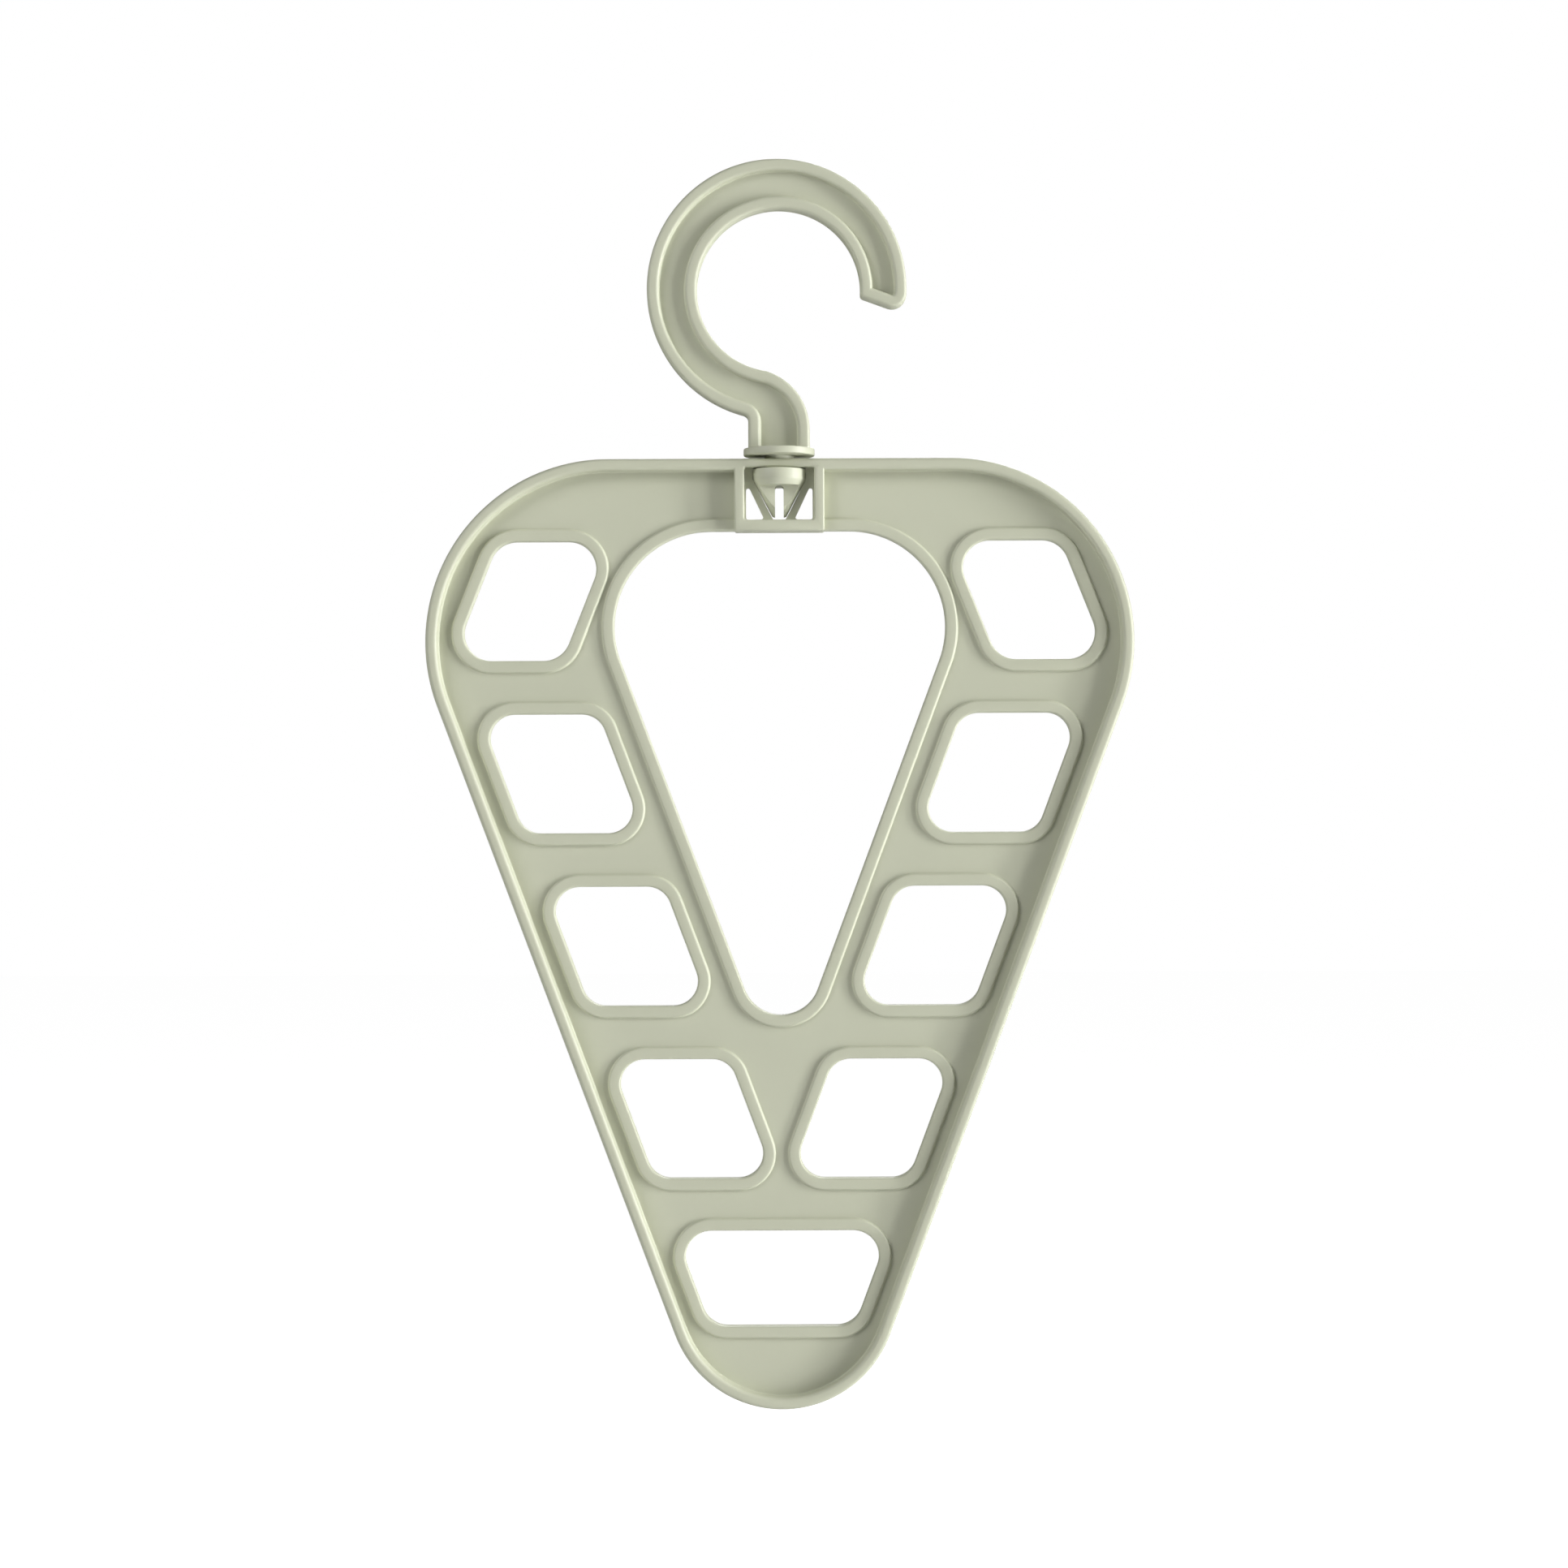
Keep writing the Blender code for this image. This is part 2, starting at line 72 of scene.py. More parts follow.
# Frame moulding: a flat triangle with round corners, tip down, moulded in one shot. A thin web
# stands between rims that run round its edge, the middle opening and the nine hanging holes.
FRAME_TOP = frame_high.z
HALF_DEPTH = frame_high.y
HOLE_RIM_HALF_DEPTH = 0.0020
HALF_WEB = 0.0010
RIM = 0.0034
EDGE_RIM_ROUND = 0.0011
HOLE_RIM_ROUND = 0.0006
ROOT_ROUND = 0.0003
DRAFT = math.tan(math.radians(0.5))
PARTING_RISE = 0.00006
PARTING_HALF = 0.00008
FLAT = 0.00002
SHOULDER_RADIUS = 0.0509
TIP_RADIUS = 0.0320
ARM_WIDTH = 0.0521
OPENING_TOP = -0.0897
OPENING_TOP_ROUND = 0.0267
OPENING_BOTTOM_ROUND = 0.0108
HOLE_HEIGHT = 0.0331
HOLE_MARGIN = 0.0100
HOLE_SPAN = 0.0311
HOLE_ROUND = 0.0068
SHOULDER_HOLE_SPAN = 0.0289
SHOULDER_HOLE_INSET = 0.0290
SHOULDER_HOLE_LEAN = math.radians(21.7)
SHOULDER_HOLE_ROUND = 0.0076
ROW_ONE_FLOOR = 0.0559
ROW_PITCH = 0.0481
ARM_ROWS = 3
TIP_HOLE_DROP = 0.0412
TIP_HOLE_HEIGHT = 0.0265
TIP_HOLE_MARGIN = 0.0099
TIP_HOLE_ROUND = 0.0072
ARC_ERROR = 0.000012

half_width = frame_high.x
across = half_width - SHOULDER_RADIUS
down = FRAME_TOP - frame_low.z - SHOULDER_RADIUS - TIP_RADIUS
side_slope = math.atan2(across, down) + math.asin(
    (SHOULDER_RADIUS - TIP_RADIUS) / math.hypot(across, down)
)
side_out = Vector((math.cos(side_slope), -math.sin(side_slope)))
side_reach = Vector((across, FRAME_TOP - SHOULDER_RADIUS)).dot(side_out) + SHOULDER_RADIUS


def arc(centre, radius, start, end, count):
    """Points on an arc from the angle start to the angle end, in equal steps."""
    angles = [start + (end - start) * i / count for i in range(count + 1)]
    return [Vector((centre[0] + radius * math.cos(a), centre[1] + radius * math.sin(a))) for a in angles]


def round_outline(corners, radii, spread):
    """A convex outline with round corners, spread outwards. It has as many points at any spread."""
    points = []
    for index, (corner, radius) in enumerate(zip(corners, radii)):
        sides = (corner - corners[index - 1], corners[(index + 1) % len(corners)] - corner)
        first, second = (Vector((side.y, -side.x)).normalized() for side in sides)
        centre = corner - radius * (first + second) / (1 + first.dot(second))
        start = math.atan2(first.y, first.x)
        turn = math.acos(first.dot(second))
        count = math.ceil(turn / (2 * math.acos(1 - ARC_ERROR / radius)))
        points += arc(centre, radius + spread, start, start + turn, count)
    return points


def on_side(margin, height):
    """The point at a height that lies a margin inside the frame's right-hand side."""
    return Vector(((side_reach - margin - height * side_out.y) / side_out.x, height))


def triangle(margin, top):
    """The corners of a triangle, tip down, with its sides a margin inside the frame's own."""
    right = on_side(margin, top)
    return [Vector((-right.x, top)), Vector((0.0, (side_reach - margin) / side_out.y)), right]


def hanging_holes():
    """Corners and corner radius of each of the nine holes."""
    floor = FRAME_TOP - ROW_ONE_FLOOR
    lean = HOLE_HEIGHT / 2 * math.tan(SHOULDER_HOLE_LEAN)
    middle = half_width - SHOULDER_HOLE_INSET
    half = SHOULDER_HOLE_SPAN / 2 / math.cos(side_slope)
    corners = [
        Vector((middle + lean - half, floor)),
        Vector((middle + lean + half, floor)),
        Vector((middle - lean + half, floor + HOLE_HEIGHT)),
        Vector((middle - lean - half, floor + HOLE_HEIGHT)),
    ]
    right_hand = [(corners, SHOULDER_HOLE_ROUND)]
    inner = HOLE_MARGIN + HOLE_SPAN
    for row in range(1, ARM_ROWS + 1):
        floor = FRAME_TOP - ROW_ONE_FLOOR - row * ROW_PITCH
        corners = [
            on_side(inner, floor),
            on_side(HOLE_MARGIN, floor),
            on_side(HOLE_MARGIN, floor + HOLE_HEIGHT),
            on_side(inner, floor + HOLE_HEIGHT),
        ]
        right_hand.append((corners, HOLE_ROUND))
    floor -= TIP_HOLE_DROP
    bottom = on_side(TIP_HOLE_MARGIN, floor)
    top = on_side(TIP_HOLE_MARGIN, floor + TIP_HOLE_HEIGHT)
    holes = [([Vector((-bottom.x, floor)), bottom, top, Vector((-top.x, top.y))], TIP_HOLE_ROUND)]
    for corners, radius in right_hand:
        mirrored = [Vector((-corner.x, corner.y)) for corner in reversed(corners)]
        holes += [(corners, radius), (mirrored, radius)]
    return holes


def edge_line(into):
    """The frame's edge, moved into the plastic."""
    radii = [SHOULDER_RADIUS, TIP_RADIUS, SHOULDER_RADIUS]
    return [round_outline(triangle(0.0, FRAME_TOP), radii, -into)]


def inner_lines(into):
    """The middle opening and the nine holes, each moved into the plastic by the same amount."""
    radii = [OPENING_TOP_ROUND, OPENING_BOTTOM_ROUND, OPENING_TOP_ROUND]
    lines = [round_outline(triangle(ARM_WIDTH, OPENING_TOP), radii, into)]
    return lines + [round_outline(corners, [radius] * 4, into) for corners, radius in hanging_holes()]


def rim_section(half_depth, edge_round):
    """Half a rim in section, from the parting line on its outer wall to the web, as (into, depth)."""
    quarter = math.radians(90)
    shoulder = half_depth - edge_round
    wall = PARTING_RISE + DRAFT * shoulder
    root = RIM + DRAFT * (shoulder - HALF_WEB)
    section = [Vector((0, 0)), Vector((0, PARTING_HALF))]
    section.append(Vector((PARTING_RISE, PARTING_HALF + PARTING_RISE)))
    section += arc((wall + edge_round, shoulder), edge_round, 2 * quarter, quarter, 6)
    section += arc((RIM - edge_round, shoulder), edge_round, quarter, 0, 6)
    section += arc((root + ROOT_ROUND, HALF_WEB + ROOT_ROUND), ROOT_ROUND, 2 * quarter, 3 * quarter, 4)
    section.append(Vector((root + ROOT_ROUND + FLAT, HALF_WEB)))
    return section


def edges_between(items, verts):
    """The edges among the items whose ends are both in the set of vertices."""
    edges = [item for item in items if isinstance(item, bmesh.types.BMEdge)]
    return [edge for edge in edges if verts.issuperset(edge.verts)]


def raise_rims(shape, lines, section, closed):
    """Draws the lines at mid-depth and steps them through a section. Returns the last edges."""
    place = shape.verts.layers.int.new("place")
    ring = []
    made = 0
    for line in lines(0.0):
        points = [shape.verts.new((point.x, 0, point.y)) for point in line]
        for vert in points:
            vert[place] = made
            made += 1
        following = points[1:] + points[:1] if closed else points[1:]
        ring += [shape.edges.new(pair) for pair in zip(points, following)]
    for into, depth in section[1:]:
        moved_to = [point for line in lines(into) for point in line]
        drawn = bmesh.ops.extrude_edge_only(shape, edges=ring)["geom"]
        verts = {item for item in drawn if isinstance(item, bmesh.types.BMVert)}
        ring = edges_between(drawn, verts)
        for vert in verts:
            point = moved_to[vert[place]]
            vert.co = (point.x, -depth, point.y)
    shape.verts.layers.int.remove(place)
    return ring


def mirror_to_back(shape):
    """Copies the front half behind the parting plane and closes the seam."""
    everything = shape.verts[:] + shape.edges[:] + shape.faces[:]
    bmesh.ops.mirror(shape, geom=everything, axis="Y", merge_dist=1e-7)


def make_piece(name, shape):
    """Points the faces outwards and makes a named object of the mesh, at the origin."""
    bmesh.ops.recalc_face_normals(shape, faces=shape.faces)
    mesh = bpy.data.meshes.new(name)
    shape.to_mesh(mesh)
    shape.free()
    piece = bpy.data.objects.new(name, mesh)
    bpy.context.scene.collection.objects.link(piece)
    return piece


def fuse(piece, tools, operation):
    """Joins each tool to the piece, or cuts each tool out of it."""
    for tool in tools:
        modifier = piece.modifiers.new(tool.name, "BOOLEAN")
        modifier.operation = operation
        modifier.solver = "EXACT"
        modifier.object = tool
        graph = bpy.context.evaluated_depsgraph_get()
        joined = bpy.data.meshes.new_from_object(piece.evaluated_get(graph))
        piece.modifiers.clear()
        piece.data = joined
        bpy.data.objects.remove(tool)
    return piece


def prism(name, outline, front, back):
    """A closed outline in the plane of the hanger, drawn straight through from front to back."""
    shape = bmesh.new()
    cap = shape.faces.new([shape.verts.new((point.x, front, point.y)) for point in outline])
    drawn = bmesh.ops.extrude_face_region(shape, geom=[cap])["geom"]
    moved = [item for item in drawn if isinstance(item, bmesh.types.BMVert)]
    bmesh.ops.translate(shape, verts=moved, vec=(0, back - front, 0))
    return make_piece(name, shape)


def turned(name, profile, steps):
    """A solid turned about the swivel axis from (radius, height) points, top to bottom."""
    shape = bmesh.new()
    points = [shape.verts.new((radius, 0, height)) for radius, height in profile]
    edges = [shape.edges.new(pair) for pair in zip(points, points[1:])]
    bmesh.ops.spin(
        shape, geom=points + edges, cent=(0, 0, 0), axis=(0, 0, 1),
        angle=math.radians(360), steps=steps, use_merge=True,
    )
    bmesh.ops.remove_doubles(shape, verts=shape.verts, dist=1e-7)
    return make_piece(name, shape)


plate = bmesh.new()
raise_rims(plate, edge_line, rim_section(HALF_DEPTH, EDGE_RIM_ROUND), closed=True)
raise_rims(plate, inner_lines, rim_section(HOLE_RIM_HALF_DEPTH, HOLE_RIM_ROUND), closed=True)
mirror_to_back(plate)
front_roots = [edge for edge in plate.edges if edge.is_boundary and edge.verts[0].co.y < 0]
bmesh.ops.triangle_fill(plate, edges=front_roots, normal=(0, -1, 0), use_beauty=True)

# The ejector pins leave shallow round dimples in the back of the web
PIN_RADIUS = 0.0025
PIN_DEPTH = 0.00008
BAR_PIN_PLACES = (0.024, 0.040)

pin_spots = []
for row in range(ARM_ROWS + 1):
    height = FRAME_TOP - ROW_ONE_FLOOR - row * ROW_PITCH - (ROW_PITCH - HOLE_HEIGHT) / 2
    pin_spots.append(on_side(ARM_WIDTH / 2, height))
pin_spots += [Vector((x, (FRAME_TOP + OPENING_TOP) / 2)) for x in BAR_PIN_PLACES]
pin_spots += [Vector((-spot.x, spot.y)) for spot in pin_spots]
pin_rings = []
for spot in pin_spots:
    turn = Matrix.Translation((spot.x, HALF_WEB, spot.y)) @ Matrix.Rotation(math.radians(90), 4, "X")
    ring = bmesh.ops.create_circle(plate, radius=PIN_RADIUS, segments=48, matrix=turn)["verts"]
    pin_rings.append(list({edge for vert in ring for edge in vert.link_edges}))
back_roots = [edge for edge in plate.edges if edge.is_boundary and edge.verts[0].co.y > 0]
back_roots += [edge for ring in pin_rings for edge in ring]
bmesh.ops.triangle_fill(plate, edges=back_roots, normal=(0, 1, 0), use_beauty=True)
for ring in pin_rings:
    drawn = bmesh.ops.extrude_edge_only(plate, edges=ring)["geom"]
    verts = {item for item in drawn if isinstance(item, bmesh.types.BMVert)}
    floor = edges_between(drawn, verts)
    bmesh.ops.translate(plate, verts=list(verts), vec=(0, -PIN_DEPTH, 0))
    bmesh.ops.edgeloop_fill(plate, edges=floor)
moulded_frame = make_piece("frame_moulding", plate)


# Swivel socket: a box moulded into the middle of the top bar, as deep as the edge's rim, with a
# window on each face. The hook's head snaps in through the bore in its roof and turns in a cradle.
SOCKET_HALF_DEPTH = HALF_DEPTH - 0.0001
SOCKET_HALF_WIDTH = 0.0125
SOCKET_TOP = FRAME_TOP - 0.0009
WINDOW_HALF_WIDTH = 0.0097
WINDOW_TOP = FRAME_TOP - 0.0025
WINDOW_BOTTOM = OPENING_TOP + 0.0030
WINDOW_ROUND = 0.0006
WINDOW_EDGE = 0.0007
CRADLE_HALF_DEPTH = 0.00125
INSIDE_WALL = 0.0010
INSIDE_ROOF = 0.0004
BORE_RADIUS = 0.0044
BORE_LEAD = 0.0005
STEP = 0.00003
HEAD_ROOM_ROOF = WINDOW_TOP - STEP
HEAD_ROOM_END = WINDOW_BOTTOM + STEP
HEAD_ROOM_RADIUS = 0.0075
CHIN_ROOM_TOP = -0.0755
HEAD_ROOM_FLOOR = -0.0771
CONE_ROOM_TOP = 0.00655
CONE_ROOM_TIP = 0.0020
CRADLE_BAR = 0.0018
CORNER_HOLE_ROUND = 0.0006
CORNER_HOLE_WALL = 0.0093
CORNER_HOLE_FLOOR = WINDOW_BOTTOM + 0.0003
OVERRUN = 0.0040


def block(half_wide, bottom, top):
    return [
        Vector((-half_wide, bottom)), Vector((half_wide, bottom)),
        Vector((half_wide, top)), Vector((-half_wide, top)),
    ]


def soften_faces(piece, depth, top, width):
    """Rounds the edges in the front and back planes at a depth, but not the one along the top."""
    shape = bmesh.new()
    shape.from_mesh(piece.data)
    edges = [
        edge for edge in shape.edges
        if all(abs(abs(vert.co.y) - depth) < 1e-6 for vert in edge.verts)
        and min(vert.co.z for vert in edge.verts) < top - 1e-6
        and edge.calc_face_angle(0) > math.radians(60)
    ]
    bmesh.ops.bevel(
        shape, geom=edges, offset=width, offset_type="OFFSET", segments=4, profile=0.5,
        affect="EDGES", clamp_overlap=True, material=-1,
    )
    shape.to_mesh(piece.data)
    shape.free()


# The web and its rims are cleared away where the socket stands. The socket brings its own middle wall.
middle = block(WINDOW_HALF_WIDTH + INSIDE_WALL, WINDOW_BOTTOM - INSIDE_WALL, WINDOW_TOP + INSIDE_ROOF)
clearing = prism("clearing", middle, -HALF_DEPTH - OVERRUN, HALF_DEPTH + OVERRUN)
fuse(moulded_frame, [clearing], "DIFFERENCE")

socket = prism(
    "socket", block(SOCKET_HALF_WIDTH, OPENING_TOP, SOCKET_TOP), -SOCKET_HALF_DEPTH, SOCKET_HALF_DEPTH
)
windows = []
for side in (-1, 1):
    outline = round_outline(
        block(WINDOW_HALF_WIDTH, WINDOW_BOTTOM, WINDOW_TOP), [WINDOW_ROUND] * 4, 0.0
    )
    reach = sorted((side * CRADLE_HALF_DEPTH, side * (SOCKET_HALF_DEPTH + OVERRUN)))
    windows.append(prism("window", outline, *reach))
fuse(socket, windows, "DIFFERENCE")
soften_faces(socket, SOCKET_HALF_DEPTH, SOCKET_TOP, WINDOW_EDGE)
fuse(moulded_frame, [socket], "UNION")

# Bore and cradle are one turned cut. It ends a hair inside the windows, so that no two cuts share a plane.
room = turned(
    "room",
    [
        (0, FRAME_TOP + OVERRUN),
        (BORE_RADIUS + BORE_LEAD + OVERRUN, FRAME_TOP + OVERRUN),
        (BORE_RADIUS, FRAME_TOP - BORE_LEAD),
        (BORE_RADIUS, HEAD_ROOM_ROOF),
        (HEAD_ROOM_RADIUS, HEAD_ROOM_ROOF),
        (HEAD_ROOM_RADIUS, CHIN_ROOM_TOP),
        (CONE_ROOM_TOP, HEAD_ROOM_FLOOR),
        (CONE_ROOM_TIP, HEAD_ROOM_END),
        (0, HEAD_ROOM_END),
    ],
    96,
)
fuse(moulded_frame, [room], "DIFFERENCE")
cone_lean = (CONE_ROOM_TOP - CONE_ROOM_TIP) / (HEAD_ROOM_FLOOR - WINDOW_BOTTOM)
bar = CRADLE_BAR * math.hypot(1, cone_lean)
near = CONE_ROOM_TIP + bar + cone_lean * (CORNER_HOLE_FLOOR - WINDOW_BOTTOM)
peak = CORNER_HOLE_FLOOR + (CORNER_HOLE_WALL - near) / cone_lean
corner_hole = [
    Vector((near, CORNER_HOLE_FLOOR)), Vector((CORNER_HOLE_WALL, CORNER_HOLE_FLOOR)),
    Vector((CORNER_HOLE_WALL, peak)),
]
for corners in (corner_hole, [Vector((-corner.x, corner.y)) for corner in reversed(corner_hole)]):
    outline = round_outline(corners, [CORNER_HOLE_ROUND] * 3, 0.0)
    fuse(moulded_frame, [prism("corner_hole", outline, -HALF_DEPTH, HALF_DEPTH)], "DIFFERENCE")


# Hook moulding: an open loop on a short stem, with the same rims and web as the frame. The stem
# ends in a round collar, and the neck and the split snap head hang below it, all in one shot.
HOOK_HALF_DEPTH = 0.0032
HOOK_RIM_ROUND = 0.0009
LOOP_RADIUS = 0.0227
LOOP_BAND = 0.0135
BAND_SHIFT_LEFT = 0.0005
BAND_SHIFT_UP = 0.0004
STEM_HALF_WIDTH = 0.0086
STEM_LENGTH = 0.0078
STEM_UPRIGHT = 0.0073
NOSE_DROP = math.radians(4.8)
NOSE_TILT = math.radians(20)
NOSE_INNER_ROUND = 0.0012
NOSE_OUTER_ROUND = 0.0040
THROAT_SHIFT = 0.0034
THROAT_ROUND = 0.0050
HEEL_ROUND = 0.0020
LEAST_ROUND = 0.0003
COLLAR_RADIUS = 0.0099
COLLAR_THICKNESS = 0.0020

loop_centre = Vector((0.0, -LOOP_RADIUS))
band_centre = loop_centre + Vector((-BAND_SHIFT_LEFT, BAND_SHIFT_UP))
collar_top = -2 * LOOP_RADIUS - LOOP_BAND - STEM_LENGTH
collar_underside = collar_top - COLLAR_THICKNESS
bend_end_height = collar_underside + STEM_UPRIGHT


def hook_lines(into):
    """The outline of loop and stem, moved into the plastic, from one side of its foot to the other."""
    outer, inner = LOOP_RADIUS + LOOP_BAND - into, LOOP_RADIUS + into
    half_stem = STEM_HALF_WIDTH - into
    throat = max(THROAT_ROUND - into, LEAST_ROUND)
    heel = HEEL_ROUND + into
    nose_in = max(NOSE_INNER_ROUND - into, LEAST_ROUND)
    nose_out = max(NOSE_OUTER_ROUND - into, LEAST_ROUND)
    foot = collar_top - COLLAR_THICKNESS / 2
    centre = loop_centre

    # The nose is cut by a straight face, which tilts down towards the outside
    along = Vector((math.cos(NOSE_TILT), -math.sin(NOSE_TILT)))
    out = Vector((-math.sin(NOSE_TILT), -math.cos(NOSE_TILT)))
    face = LOOP_RADIUS * Vector((math.cos(NOSE_DROP), -math.sin(NOSE_DROP))).dot(out) - into
    rounds = []
    for middle, radius, reach in (
        (band_centre, nose_out, outer - nose_out), (centre, nose_in, inner + nose_in)
    ):
        rest = face - radius - (middle - centre).dot(out)
        rounds.append(middle + rest * out + math.sqrt(reach * reach - rest * rest) * along)
    outer_round, inner_round = rounds
    out_angle = math.atan2(out.y, out.x)
    outer_start = math.atan2(outer_round.y - band_centre.y, outer_round.x - band_centre.x)
    inner_end = math.atan2(inner_round.y - centre.y, inner_round.x - centre.x)

    # The heel fills the corner between the loop's outer edge and the stem's left side
    heel_x = -half_stem - heel
    heel_drop = math.sqrt((outer + heel) ** 2 - (heel_x - band_centre.x) ** 2)
    heel_centre = Vector((heel_x, band_centre.y - heel_drop))
    heel_angle = math.atan2(-heel_drop, heel_x - band_centre.x)

    # The stem's right side bends from the throat in the loop until it stands upright
    crotch = Vector((-THROAT_SHIFT, centre.y - math.sqrt(LOOP_RADIUS ** 2 - THROAT_SHIFT ** 2)))
    reach = Vector((STEM_HALF_WIDTH, bend_end_height)) - crotch
    full_bend = reach.length_squared / (2 * reach.x)
    bend = full_bend - into
    bend_centre = Vector((STEM_HALF_WIDTH - full_bend, bend_end_height))
    between = centre - bend_centre
    far, near = inner + throat, bend - throat
    rise = (near ** 2 - far ** 2 + between.length_squared) / (2 * between.length)
    aside = Vector((between.y, -between.x)).normalized() * math.sqrt(near ** 2 - rise ** 2)
    throat_centre = bend_centre + between.normalized() * rise + aside
    throat_angle = math.atan2(throat_centre.y - centre.y, throat_centre.x - centre.x)
    bend_end = math.atan2(throat_centre.y - bend_centre.y, throat_centre.x - bend_centre.x)

    turn = math.radians(360)
    points = [Vector((half_stem, foot))] + arc(bend_centre, bend, 0.0, bend_end, 24)
    points += arc(throat_centre, throat, bend_end, throat_angle + turn / 2, 14)[1:]
    points += arc(centre, inner, throat_angle + turn, inner_end, 130)[1:]
    points += arc(inner_round, nose_in, inner_end - turn / 2, out_angle, 10)[1:]
    points += arc(outer_round, nose_out, out_angle, outer_start, 12)
    points += arc(band_centre, outer, outer_start, heel_angle + turn, 160)[1:]
    points += arc(heel_centre, heel, heel_angle + turn / 2, 0.0, 12)[1:]
    points.append(Vector((-half_stem, foot)))
    return [points]


loop = bmesh.new()
roots = raise_rims(loop, hook_lines, rim_section(HOOK_HALF_DEPTH, HOOK_RIM_ROUND), closed=False)
ends = [vert for edge in roots for vert in edge.verts]
ends = [vert for vert in set(ends) if ends.count(vert) == 1]
roots.append(loop.edges.new(ends))
bmesh.ops.triangle_fill(loop, edges=roots, normal=(0, -1, 0), use_beauty=True)
mirror_to_back(loop)
bmesh.ops.edgeloop_fill(loop, edges=[edge for edge in loop.edges if edge.is_boundary])
moulded_hook = make_piece("hook_moulding", loop)

# Collar and snap head, turned. The cone is flat at the front and back and split into two legs, which
# can spring inwards.
NECK_RADIUS = 0.0040
HEAD_RADIUS = 0.0074
HEAD_TOP = WINDOW_TOP - 0.0003
DISC_HEIGHT = 0.0046
CHIN = 0.0016
CONE_TOP_RADIUS = 0.00645
CONE_TIP_RADIUS = 0.0019
LEG_HALF_DEPTH = 0.0030
LEG_EDGE = 0.0003
HEAD_EDGE = 0.0003
HEAD_CREASE = math.radians(20)
SPLIT_HALF_WIDTH = 0.0012
SPLIT_ROUND = 0.0010

cone_top = HEAD_TOP - DISC_HEIGHT
head = turned(
    "head",
    [
        (0, collar_top),
        (COLLAR_RADIUS, collar_top),
        (COLLAR_RADIUS, collar_underside),
        (NECK_RADIUS, collar_underside),
        (NECK_RADIUS, HEAD_TOP),
        (HEAD_RADIUS, HEAD_TOP),
        (HEAD_RADIUS, cone_top + CHIN),
        (CONE_TOP_RADIUS, cone_top),
        (CONE_TIP_RADIUS, hook_low.z),
        (0, hook_low.z),
    ],
    128,
)
shape = bmesh.new()
shape.from_mesh(head.data)
creases = [edge for edge in shape.edges if edge.calc_face_angle(0) > HEAD_CREASE]
bmesh.ops.bevel(
    shape, geom=creases, offset=HEAD_EDGE, offset_type="OFFSET", segments=3, profile=0.5,
    affect="EDGES", clamp_overlap=True, material=-1,
)
shape.to_mesh(head.data)
shape.free()
split = round_outline(
    block(SPLIT_HALF_WIDTH, hook_low.z - OVERRUN, cone_top), [SPLIT_ROUND] * 4, 0.0
)
legs = block(HEAD_RADIUS, hook_low.z - OVERRUN, cone_top)
fuse(
    head,
    [
        prism("split", split, -HEAD_RADIUS, HEAD_RADIUS),
        prism("front_of_legs", legs, -HEAD_RADIUS, -LEG_HALF_DEPTH),
        prism("back_of_legs", legs, LEG_HALF_DEPTH, HEAD_RADIUS),
    ],
    "DIFFERENCE",
)
soften_faces(head, LEG_HALF_DEPTH, cone_top, LEG_EDGE)
fuse(moulded_hook, [head], "UNION")


# Satin polypropylene: one pale sage batch for both pieces. The mould's spark-eroded face leaves a
# fine even grain, and the flow of the melt a faint unevenness of tone and gloss.
SAGE = (0.572, 0.588, 0.460, 1.0)
SAGE_DEEP = (0.550, 0.568, 0.438, 1.0)
GRAIN_HEIGHT = 0.00001
SHARP_FROM = math.radians(31)


def satin_plastic(name, seed):
    material = bpy.data.materials.new(name)
    material.use_nodes = True
    nodes, links = material.node_tree.nodes, material.node_tree.links
    shader = nodes["Principled BSDF"]
    shader.inputs["IOR"].default_value = 1.49
    place = nodes.new("ShaderNodeTexCoord").outputs["Object"]

    flow = nodes.new("ShaderNodeTexNoise")
    flow.noise_dimensions = "4D"
    flow.inputs["W"].default_value = seed
    flow.inputs["Scale"].default_value = 22
    flow.inputs["Detail"].default_value = 3
    links.new(place, flow.inputs["Vector"])
    tone = nodes.new("ShaderNodeMix")
    tone.data_type = "RGBA"
    tone.inputs["A"].default_value = SAGE_DEEP
    tone.inputs["B"].default_value = SAGE
    links.new(flow.outputs["Fac"], tone.inputs["Factor"])
    links.new(tone.outputs["Result"], shader.inputs["Base Color"])

    gloss = nodes.new("ShaderNodeMapRange")
    gloss.inputs["To Min"].default_value = 0.38
    gloss.inputs["To Max"].default_value = 0.48
    links.new(flow.outputs["Fac"], gloss.inputs["Value"])
    links.new(gloss.outputs["Result"], shader.inputs["Roughness"])

    grain = nodes.new("ShaderNodeTexNoise")
    grain.inputs["Scale"].default_value = 3200
    grain.inputs["Detail"].default_value = 2
    links.new(place, grain.inputs["Vector"])
    bump = nodes.new("ShaderNodeBump")
    bump.inputs["Strength"].default_value = 0.35
    bump.inputs["Distance"].default_value = GRAIN_HEIGHT
    links.new(grain.outputs["Fac"], bump.inputs["Height"])
    links.new(bump.outputs["Normal"], shader.inputs["Normal"])
    return material


def dress(piece, material, node, body):
    """Gives a moulding its plastic, smooth rounds and crisp corners, and its place on the hanger."""
    piece.data.materials.clear()
    piece.data.materials.append(material)
    piece.data.shade_smooth()
    piece.data.set_sharp_from_angle(angle=SHARP_FROM)
    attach(piece, body)
    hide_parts(node)


dress(moulded_frame, satin_plastic("frame_polypropylene", 0), "frame", "frame")
dress(moulded_hook, satin_plastic("hook_polypropylene", 5), "hook", "hook")


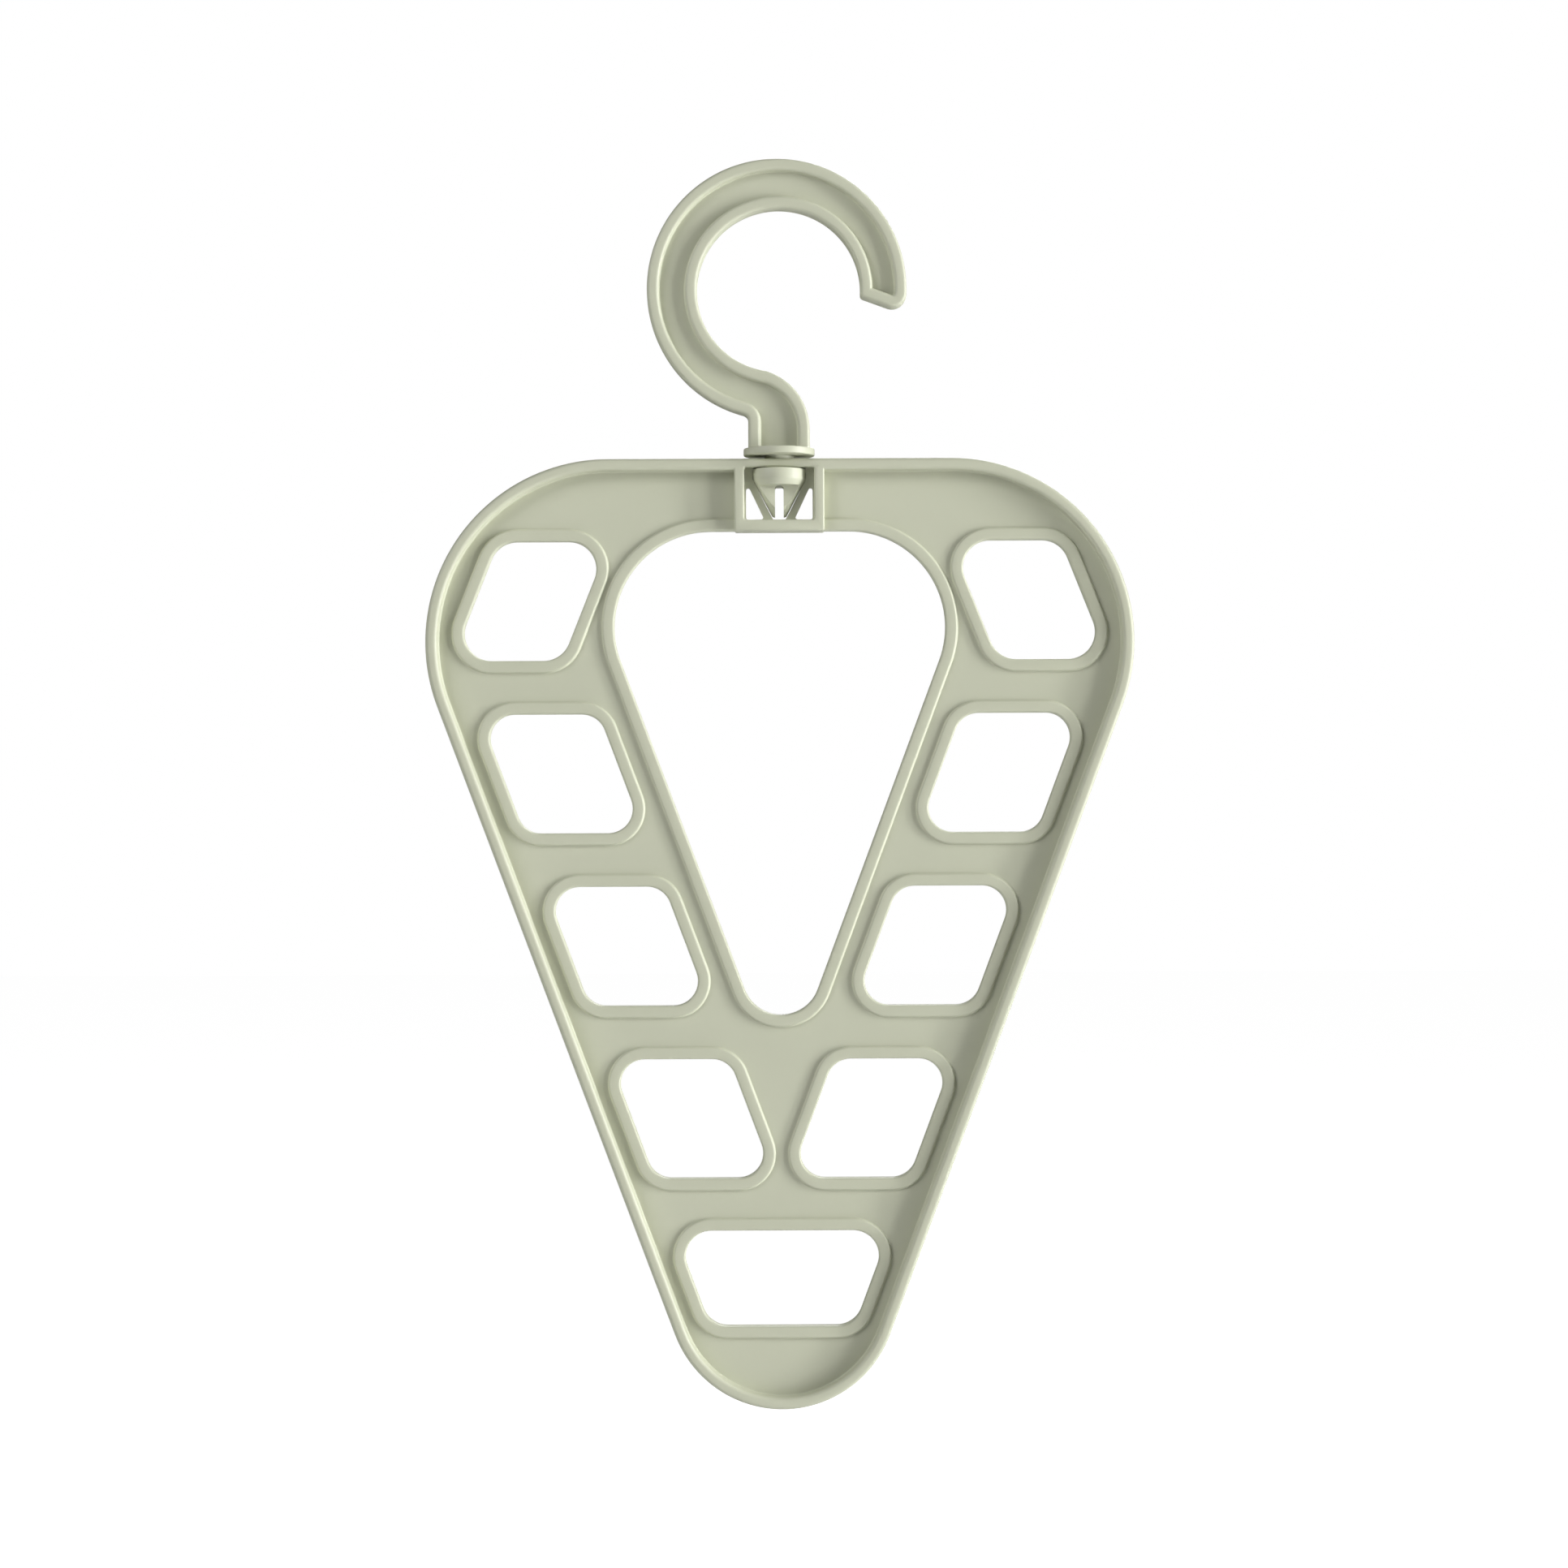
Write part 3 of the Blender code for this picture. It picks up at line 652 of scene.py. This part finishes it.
# Studio: a plain pale floor far below the hanging piece, white for the camera all round, two tall
# strip lamps on the right that rake the face, one lower than the other, a soft fill on the upper
# left, and a lamp high up behind for the views of the back
FLOOR_HEIGHT = -1.0
FLOOR_SIZE = 12.0
FLOOR_GLOW = 0.98
LAMP_DISTANCE = 2.8
STRIP_HEIGHT = 2.8
LOW_KEY_POWER = 88
LOW_KEY_ANGLE = math.radians(14)
LOW_KEY_WIDTH = 0.3
HIGH_KEY_POWER = 56
HIGH_KEY_ANGLE = math.radians(25.5)
HIGH_KEY_WIDTH = 0.5
FILL_POWER = 38
FILL_FROM = Vector((-0.67, -0.57, 0.47))
FILL_SIZE = 1.4
BACK_POWER = 45
BACK_FROM = Vector((0.20, 0.80, 0.56))
BACK_SIZE = 1.4
AMBIENT = 0.01

view_centre = Vector((0, 0, CAMERA_HEIGHT))


def lamp(name, direction, power, wide, tall):
    light = bpy.data.lights.new(name, "AREA")
    light.shape = "RECTANGLE"
    light.size, light.size_y = wide, tall
    light.energy = power
    holder = bpy.data.objects.new(name, light)
    holder.location = view_centre + LAMP_DISTANCE * direction
    holder.rotation_euler = direction.to_track_quat("Z", "Y").to_euler()
    bpy.context.scene.collection.objects.link(holder)


low_key = Vector((math.cos(LOW_KEY_ANGLE), -math.sin(LOW_KEY_ANGLE), 0))
high_key = Vector((math.cos(HIGH_KEY_ANGLE), -math.sin(HIGH_KEY_ANGLE), 0))
lamp("low_key", low_key, LOW_KEY_POWER, LOW_KEY_WIDTH, STRIP_HEIGHT)
lamp("high_key", high_key, HIGH_KEY_POWER, HIGH_KEY_WIDTH, STRIP_HEIGHT)
lamp("fill", FILL_FROM.normalized(), FILL_POWER, FILL_SIZE, FILL_SIZE)
lamp("back", BACK_FROM.normalized(), BACK_POWER, BACK_SIZE, BACK_SIZE)

world = bpy.data.worlds.new("studio")
bpy.context.scene.world = world
world.use_nodes = True
nodes, links = world.node_tree.nodes, world.node_tree.links
rays = nodes.new("ShaderNodeLightPath")
strength = nodes.new("ShaderNodeMapRange")
strength.inputs["To Min"].default_value = AMBIENT
strength.inputs["To Max"].default_value = 1.0
links.new(rays.outputs["Is Camera Ray"], strength.inputs["Value"])
nodes["Background"].inputs["Color"].default_value = (1, 1, 1, 1)
links.new(strength.outputs["Result"], nodes["Background"].inputs["Strength"])

ground = bmesh.new()
bmesh.ops.create_grid(ground, x_segments=1, y_segments=1, size=FLOOR_SIZE)
bmesh.ops.translate(ground, verts=ground.verts, vec=(0, 0, FLOOR_HEIGHT))
floor = make_piece("floor", ground)
floor_paint = bpy.data.materials.new("floor_paint")
floor_paint.use_nodes = True
nodes, links = floor_paint.node_tree.nodes, floor_paint.node_tree.links
nodes["Principled BSDF"].inputs["Base Color"].default_value = (0.85, 0.85, 0.85, 1)
nodes["Principled BSDF"].inputs["Roughness"].default_value = 0.9
nodes["Principled BSDF"].inputs["Emission Color"].default_value = (1, 1, 1, 1)
rays = nodes.new("ShaderNodeLightPath")
lift = nodes.new("ShaderNodeMath")
lift.operation = "MULTIPLY"
lift.inputs[1].default_value = FLOOR_GLOW
links.new(rays.outputs["Is Camera Ray"], lift.inputs[0])
links.new(lift.outputs[0], nodes["Principled BSDF"].inputs["Emission Strength"])
floor.data.materials.append(floor_paint)

bpy.context.scene.view_settings.view_transform = "Standard"
